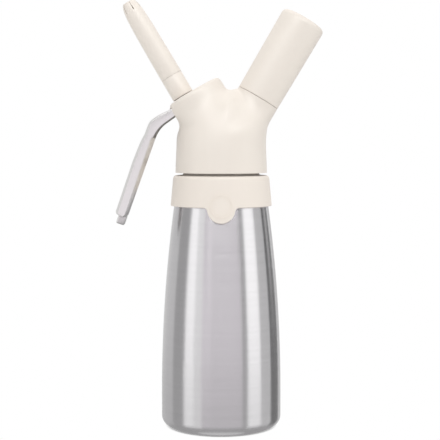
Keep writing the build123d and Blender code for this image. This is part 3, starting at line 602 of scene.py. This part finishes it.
def bar(name, outline, start, stop):
    """A closed bar with the same outline at both ends."""
    made, first = start_loop(name, outline(start))
    last = extrude_loop(made, first, outline(stop))
    fill_loop(made, first)
    fill_loop(made, last)
    close_normals(made)
    return made


def cut_out(obj, cutter):
    apply_modifier(obj, "BOOLEAN", operation="DIFFERENCE", solver="EXACT", object=cutter)
    bpy.data.objects.remove(cutter)


def loose_copy(node, name):
    """A CAD piece's shape on its own, its doubled points merged."""
    made = nodes[node].copy()
    made.data = nodes[node].data.copy()
    made.name = name
    made.data.name = name
    made.parent = None
    for key in list(made.keys()):
        del made[key]
    bpy.context.scene.collection.objects.link(made)
    close_normals(made)
    return made


def skirt_ring(z, r):
    turns = [2 * pi * k / ring_points for k in range(ring_points)]
    return [Vector((r * ring_swell * sin(a), -r * ring_swell * cos(a), z)) for a in turns]


def arm_ring(place, side, shift, w, r, rise=0.0, dip=0.0, tuck=0.0):
    """A ring round an arm, from its front round the outer side to the back and the valley side."""
    ring = []
    for k in range(ring_points):
        turn = 2 * pi * k / ring_points
        near = (r - tuck * max(0.0, sin(turn)) ** 2) * ring_swell
        far = w + rise * max(0.0, -sin(turn)) ** 2 - dip * cos(turn) ** 2
        ring.append(place(shift + side * near * sin(turn), far, -near * cos(turn)))
    return ring


def head_cover():
    skirt = [skirt_ring(z, r) for z, r in skirt_rings]
    cover, loop = start_loop("head_cover", skirt[0])
    for ring in skirt[1:]:
        loop = extrude_loop(cover, loop, ring)

    # Where the skirt ends it is low at the sides and high at the front and back
    fork = []
    for point in skirt_ring(0, 1):
        front = point.y**2 / (point.x**2 + point.y**2)
        z = fork_side_z + (fork_front_z - fork_side_z) * front
        r = sqrt(dome_r**2 - (z - dome_z + dome_drop * front) ** 2)
        fork.append(Vector((r * point.x + fork_front_x * front, r * point.y, z)))
    loop = extrude_loop(cover, loop, fork)

    # The valley between the arms: an edge from the back to the front, cut and lifted to an arch
    half = ring_points // 2
    mesh = edit(cover)
    mesh.verts.ensure_lookup_table()
    mesh.verts[loop[0]].select = True
    mesh.verts[loop[half]].select = True
    bpy.ops.mesh.edge_face_add()
    bpy.ops.mesh.subdivide(number_cuts=half - 1)
    mesh = bmesh.from_edit_mesh(cover.data)
    mesh.verts.ensure_lookup_table()
    ends = (loop[0], loop[half])
    arch = [v for v in mesh.verts if v.select and v.index not in ends]
    arch.sort(key=lambda v: -v.co.y)
    valley_places = []
    for j, vert in enumerate(arch, 1):
        share = j / half
        turn = pi * share
        rise = sin(turn)
        y = fork[half].y * cos(turn)
        x = fork_front_x + (valley_x - fork_front_x) * rise
        z = fork_front_z + (valley_z - fork_front_z) * rise
        vert.co = Vector((x, y, z)) * mm
        valley_places.append(Vector((x, y, z)))
    mesh.verts.index_update()
    valley = [v.index for v in arch]
    bmesh.update_edit_mesh(cover.data)
    leave()

    right_side = list(range(half + 1))
    left_side = [-k for k in right_side]
    left = [loop[k] for k in left_side] + valley
    left_places = [fork[k] for k in left_side] + valley_places
    right = [loop[k] for k in right_side] + valley
    right_places = [fork[k] for k in right_side] + valley_places

    def valve_ring(w, r, shift=valve_boss_shift, dip=0.0, tuck=0.0):
        return arm_ring(valve_place, -1, shift, w, r, dip=dip, tuck=tuck)

    def holder_ring(w, r, rise=0.0):
        return arm_ring(holder_place, 1, 0.0, w, r, rise=rise)

    def arm_root(places, root, side_share, valley_share, pull, sag):
        ring = []
        for k, (near, far) in enumerate(zip(places, root)):
            outer = sin(2 * pi * k / ring_points)
            share = side_share + (valley_share - side_share) * max(0.0, -outer)
            drop = Vector((0, 0, -sag)) * max(0.0, -outer) ** 2
            ring.append(near.lerp(far, share) + pull * max(0.0, outer) ** 2 + drop)
        return ring

    root = valve_ring(valve_root_w, valve_boss_r, dip=valve_root_dip)
    inward = (valve_place(1, 0) - valve_place(0, 0)) * valve_root_pull
    rings = [arm_root(left_places, root, *valve_root_shares, inward, valley_sag), root]
    rings.append(valve_ring(valve_face_w - face_round, valve_boss_r))
    rings.append(valve_ring(valve_face_w, valve_boss_r - face_tuck, tuck=face_tuck_left))
    rings.append(valve_ring(valve_face_w, valve_boss_r - face_round))
    rings.append(valve_ring(valve_face_w, face_hole_r + face_hole_lip, 0.0))
    rings.append(valve_ring(valve_face_w, face_hole_r, 0.0))
    rings.append(valve_ring(valve_face_w - face_hole_depth, face_hole_r, 0.0))
    for ring in rings:
        left = extrude_loop(cover, left, ring)

    root = holder_ring(holder_root_w, holder_boss_r, rise=holder_root_rise)
    inward = (holder_place(0, 0) - holder_place(1, 0)) * holder_root_pull
    rings = [arm_root(right_places, root, *holder_root_shares, inward, 0.0), root]
    rings.append(holder_ring(holder_seam_w - holder_seam_edge, holder_boss_r))
    rings.append(holder_ring(holder_seam_w - holder_seam, holder_boss_r))
    for ring in rings:
        right = extrude_loop(cover, right, ring)

    close_normals(cover)
    apply_modifier(cover, "SUBSURF", levels=cover_levels, render_levels=cover_levels)
    apply_modifier(cover, "SOLIDIFY", thickness=cover_wall * mm, offset=-1, use_even_offset=True)

    # The lever's slot, round at its lower end
    low_turns = [pi * k / slot_steps for k in range(slot_steps + 1)]
    outline = [(-slot_half * cos(a), slot_low + slot_half * (1 - sin(a))) for a in low_turns]
    outline += [(slot_half, slot_high), (-slot_half, slot_high)]

    def slot_face(u):
        return [valve_place(u, w, y) for y, w in outline]

    cut_out(cover, bar("slot_cutter", slot_face, -slot_reach, 0.0))
    round_edges(cover, cover_edge, angle_limit=cover_edge_turn)
    finish_piece(cover, "head", "head_shell", "cream_plastic")


def bent_path(start, corner, end, radius, arm_shares, bend_shares, handle_shares):
    """Points down a straight arm, round a bend and down the handle."""
    along = (corner - start).normalized()
    down = (end - corner).normalized()
    turn = along.angle(down)
    tangent = radius * tan(turn / 2)
    first = corner - along * tangent
    last = corner + down * tangent
    inward = (down - along * along.dot(down)).normalized()
    centre = first + inward * radius
    points = [start.lerp(first, s) for s in arm_shares]
    for s in bend_shares:
        points.append(centre - inward * radius * cos(turn * s) + along * radius * sin(turn * s))
    points += [last.lerp(end, s) for s in handle_shares]
    return points


def lever_section(out, into, width, drop, corner, corner_in):
    """The folded sheet's outline at one place, from one lip's edge round the web to the other's."""
    depth = (into - out).length
    down = (into - out).normalized()
    half = [(depth - width * back, lever_half - drop * inward) for back, inward in lip_fold]
    half.append((depth - width - lip_clear, lever_half))
    half.append((depth / 2, lever_half))
    for near, inward in corner_fold:
        half.append((corner * near, lever_half - corner_in * inward))
    half.append((-web_bulge_halfway, lever_half / 2))
    front = [out + down * a + Vector((0, -y, 0)) for a, y in half]
    back = [out + down * a + Vector((0, y, 0)) for a, y in half]
    return front + [out - down * web_bulge] + back[::-1]


def squeeze_lever():
    handle_down = Vector((-sin(handle_tilt), 0, -cos(handle_tilt)))
    handle_in = Vector((cos(handle_tilt), 0, -sin(handle_tilt)))
    bend = valve_place(bend_u, lever_top_w)
    end = bend + handle_down * handle_length
    bend_shares = [i / bend_steps for i in range(bend_steps + 1)]
    shares = (arm_shares, bend_shares, handle_shares)
    outer = [valve_place(u, w) for u, w in arm_back]
    outer += [Vector((x, 0, z)) for x, z in bend_back + handle_back]
    inner_bend = bend + handle_in * handle_depth
    inner_end = end + handle_in * handle_depth_end
    inner = bent_path(valve_place(fork_cut_u, arm_under_w), inner_bend, inner_end, bend_in_round, *shares)
    bend_end = len(arm_shares) + len(bend_shares) - 1
    outer[-1] += handle_in * handle_end_round
    inner[-1] -= handle_in * handle_end_round
    sections = []
    for i, (out, into) in enumerate(zip(outer, inner)):
        width = arm_lip_width + (bend_lip_width - arm_lip_width) * min(1.0, i / bend_end) ** 2
        drop = width * arm_lip_slope
        if i > bend_end:
            opened = min(1.0, (i - bend_end) / lip_open_sections)
            along = (i - bend_end) / len(handle_shares)
            width += (handle_lip_width + (handle_lip_end - handle_lip_width) * along - width) * opened
            drop += (handle_lip_in - drop) * opened
        down = min(1.0, i / bend_end)
        corner = lever_corner * (lever_corner_start + (1 - lever_corner_start) * down)
        corner_in = corner + (lever_corner_in - lever_corner) * down
        sections.append(lever_section(out, into, width, drop, corner, corner_in))
    lever, loop = start_loop("squeeze_lever", sections[0], closed=False)
    loops = [loop]
    for section in sections[1:]:
        loop = extrude_loop(lever, loop, section, closed=False)
        loops.append(loop)
    # Painted shade: the lip points along the arm and the bend are marked to be painted darker, where the
    # channel's inside lies in shade
    painted_shade_and_darkening = lever.data.attributes.new("painted_shade_and_darkening", "FLOAT", "POINT")
    lip = len(lip_fold)
    for row in loops[: bend_end + 1]:
        for k in row[:lip] + row[-lip:]:
            painted_shade_and_darkening.data[k].value = 1.0
    fill_loop(lever, loop)
    close_normals(lever)
    apply_modifier(lever, "SOLIDIFY", thickness=lever_wall * mm, offset=-1, use_even_offset=True)
    round_edges(lever, lever_edge)

    # The tongue below the handle's end
    deselect()
    middle = end + handle_in * (tongue_inset + tongue_width / 2)
    middle += handle_down * (tongue_length - tongue_root) / 2
    bpy.ops.mesh.primitive_cube_add(size=1, location=middle * mm, rotation=(0, handle_tilt, 0))
    tongue = bpy.context.object
    tongue.scale = (tongue_width * mm, 2 * tongue_half * mm, (tongue_length + tongue_root) * mm)
    bpy.ops.object.transform_apply(location=True, rotation=True, scale=True)
    round_edges(tongue, tongue_edge, segments=tongue_edge_segments)
    # The whole tongue is painted darker through the same attribute
    tongue_darkened = tongue.data.attributes.new("painted_shade_and_darkening", "FLOAT", "POINT")
    for spot in tongue_darkened.data:
        spot.value = tongue_darkening

    # The fork inside the head, kept from the CAD lever up to where the arm starts
    fork = loose_copy("lever", "lever_fork")
    edit(fork)
    bpy.ops.mesh.select_all(action="SELECT")
    across = valve_place(1, 0) - valve_place(0, 0)
    bpy.ops.mesh.bisect(
        plane_co=valve_place(fork_cut_u, 0) * mm, plane_no=across, use_fill=True, clear_inner=True
    )
    leave()
    deselect()
    for obj in (fork, tongue, lever):
        obj.select_set(True)
    bpy.context.view_layer.objects.active = lever
    bpy.ops.object.join()
    finish_piece(lever, "lever", "lever", "lever_steel", lever_smooth_degrees)


def tip_ring(w, r):
    turns = [2 * pi * k / tip_points for k in range(tip_points)]
    return [valve_place(r * sin(a), w, -r * cos(a)) for a in turns]


def decorating_tip():
    tip, loop = start_loop("decorating_tip", tip_ring(*tip_profile[0]))
    for w, r in tip_profile[1:]:
        loop = extrude_loop(tip, loop, tip_ring(w, r))
    close_normals(tip)
    apply_modifier(tip, "SOLIDIFY", thickness=tip_wall * mm, offset=-1, use_even_offset=False)
    outline = [(across, slot_foot_w + up) for across, up in slot_outline]
    outline += [(-across, w) for across, w in outline[:0:-1]]
    for k in range(slots // 2):
        turn = slot_turn + 2 * pi * k / slots

        def slot_face(reach):
            return [
                valve_place(reach * sin(turn) + a * cos(turn), w, -reach * cos(turn) + a * sin(turn))
                for a, w in outline
            ]

        cut_out(tip, bar("slot_cutter", slot_face, -slot_cut, slot_cut))
    round_edges(tip, tip_edge)
    finish_piece(tip, "tip", "decorator_tip", "cream_plastic")


def cover_ring(w, r):
    turns = [2 * pi * k / cover_points for k in range(cover_points)]
    return [holder_place(r * sin(a), w, -r * cos(a)) for a in turns]


def charger_cover():
    """A thick cup: one line from the bore's end round the seam to the closed end, both ends filled."""
    seam = cover_profile[0][0]
    rings = [(cover_bore_end, cover_hub_r), (cover_bore_end, cover_bore_r), (seam, cover_bore_r)]
    rings += cover_profile
    cover, first = start_loop("charger_cover", cover_ring(*rings[0]))
    loop = first
    for w, r in rings[1:]:
        loop = extrude_loop(cover, loop, cover_ring(w, r))
    fill_loop(cover, first)
    fill_loop(cover, loop)
    close_normals(cover)
    finish_piece(cover, "holder", "holder_shell", "cream_plastic")


def stem_adapter():
    adapter, loop = start_loop("stem_adapter", tip_ring(*adapter_profile[0]))
    for w, r in adapter_profile[1:]:
        loop = extrude_loop(adapter, loop, tip_ring(w, r))
    close_normals(adapter)
    finish_piece(adapter, "stem", "tip_adapter", "cream_plastic")


def coil(name, node):
    """A spring copied from its CAD node, finished in the head's body, with a mesh of its own."""
    spring = loose_copy(node, name)
    finish_piece(spring, "head", node, "spring_steel")
    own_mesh(spring)


head_cover()
squeeze_lever()
charger_cover()
stem_adapter()
decorating_tip()
coil("return_coil", "return_spring")
coil("check_coil", "check_spring")


def studio_world():
    world = bpy.data.worlds.new("studio")
    bpy.context.scene.world = world
    world.use_nodes = True
    tree = world.node_tree
    tree.nodes.clear()
    put, link = tree.nodes.new, tree.links.new
    seen = put("ShaderNodeBackground")
    seen.inputs["Color"].default_value = (1, 1, 1, 1)
    fill = put("ShaderNodeBackground")
    fill.inputs["Color"].default_value = fill_colour
    fill.inputs["Strength"].default_value = fill_level
    mix = put("ShaderNodeMixShader")
    link(seen_directly(tree), mix.inputs["Fac"])
    link(fill.outputs[0], mix.inputs[1])
    link(seen.outputs[0], mix.inputs[2])
    out = put("ShaderNodeOutputWorld")
    link(mix.outputs[0], out.inputs["Surface"])


def seen_directly(tree):
    """1 for what the camera sees, straight or in a reflection, and 0 for the light that falls on things."""
    path = tree.nodes.new("ShaderNodeLightPath")
    first = tree.nodes.new("ShaderNodeMath")
    first.operation = "MAXIMUM"
    tree.links.new(path.outputs["Is Camera Ray"], first.inputs[0])
    tree.links.new(path.outputs["Is Glossy Ray"], first.inputs[1])
    second = tree.nodes.new("ShaderNodeMath")
    second.operation = "MAXIMUM"
    tree.links.new(first.outputs[0], second.inputs[0])
    tree.links.new(path.outputs["Is Transmission Ray"], second.inputs[1])
    return second.outputs[0]


def studio_floor():
    """White paper that shows the object's shadow and turns into the white background further out."""
    deselect()
    bpy.ops.mesh.primitive_plane_add(size=floor_size, location=(0, 0, 0))
    floor = bpy.context.object
    floor.name = "floor"
    finish = Finish("floor_paper", floor_colour, 0.0, floor_rough)
    tree = finish.tree
    length = finish.node("ShaderNodeVectorMath")
    length.operation = "LENGTH"
    finish.link(finish.place, length.inputs[0])
    far = finish.node("ShaderNodeMapRange")
    far.interpolation_type = "SMOOTHSTEP"
    far.inputs["From Min"].default_value = shadow_start
    far.inputs["From Max"].default_value = shadow_end
    finish.link(length.outputs["Value"], far.inputs["Value"])
    share = finish.node("ShaderNodeMath")
    share.operation = "MULTIPLY"
    finish.link(far.outputs["Result"], share.inputs[0])
    finish.link(seen_directly(tree), share.inputs[1])
    white = finish.node("ShaderNodeEmission")
    white.inputs["Color"].default_value = (1, 1, 1, 1)
    mix = finish.node("ShaderNodeMixShader")
    finish.link(share.outputs[0], mix.inputs["Fac"])
    finish.link(finish.shader.outputs[0], mix.inputs[1])
    finish.link(white.outputs[0], mix.inputs[2])
    finish.link(mix.outputs[0], tree.nodes["Material Output"].inputs["Surface"])
    paint(floor, finish.material)
    floor.visible_glossy = False


def panel_light(name, level, tint):
    material = bpy.data.materials.new(name)
    material.use_nodes = True
    tree = material.node_tree
    tree.nodes.clear()
    light = tree.nodes.new("ShaderNodeEmission")
    light.inputs["Color"].default_value = (level, level * tint, level, 1)
    out = tree.nodes.new("ShaderNodeOutputMaterial")
    tree.links.new(light.outputs[0], out.inputs["Surface"])
    return material


def studio_panel(name, start, stop, level, low, high, tint):
    """An upright curved panel round the object that shows only in reflections."""
    steps = max(2, int((stop - start) / panel_step))
    turns = [radians(start + (stop - start) * i / steps) for i in range(steps + 1)]
    points = [(panel_distance * sin(a), -panel_distance * cos(a), z) for z in (low, high) for a in turns]
    row = steps + 1
    faces = [(i, i + 1, row + i + 1, row + i) for i in range(steps)]
    mesh = bpy.data.meshes.new(name)
    mesh.from_pydata(points, [], faces)
    panel = bpy.data.objects.new(name, mesh)
    bpy.context.scene.collection.objects.link(panel)
    hang(panel, level, tint)


def studio_ground(name, radius, height, level):
    """A round card under the floor, which shows only in what faces down."""
    deselect()
    bpy.ops.mesh.primitive_circle_add(
        vertices=card_points, radius=radius, fill_type="NGON", location=(0, 0, height)
    )
    card = bpy.context.object
    card.name = name
    hang(card, level, no_tint)


def hang(panel, level, tint):
    paint(panel, panel_light(panel.name, level, tint))
    panel.visible_camera = False
    panel.visible_diffuse = False
    panel.visible_shadow = False


def studio_lamp(name, place, size, watts):
    lamp = bpy.data.lights.new(name, "AREA")
    lamp.energy = watts
    lamp.shape = "RECTANGLE"
    lamp.size, lamp.size_y = size
    obj = bpy.data.objects.new(name, lamp)
    bpy.context.scene.collection.objects.link(obj)
    obj.location = place
    obj.rotation_mode = "QUATERNION"
    obj.rotation_quaternion = (Vector(lamp_aim) - Vector(place)).to_track_quat("-Z", "Y")
    obj.visible_glossy = False


def studio_camera():
    data = bpy.data.cameras.new("camera")
    data.sensor_width = sensor_width
    data.lens = lens
    camera = bpy.data.objects.new("camera", data)
    bpy.context.scene.collection.objects.link(camera)
    camera.location = (camera_side, -camera_distance, camera_height)
    dip = atan((camera_height - aim_height) / camera_distance)
    camera.rotation_euler = (pi / 2 - dip, 0, 0)
    bpy.context.scene.camera = camera


studio_world()
studio_floor()
for row in panels:
    studio_panel(*row)
for row in cards:
    studio_ground(*row)
for row in lamps:
    studio_lamp(*row)
studio_camera()
bpy.context.scene.view_settings.view_transform = "Standard"
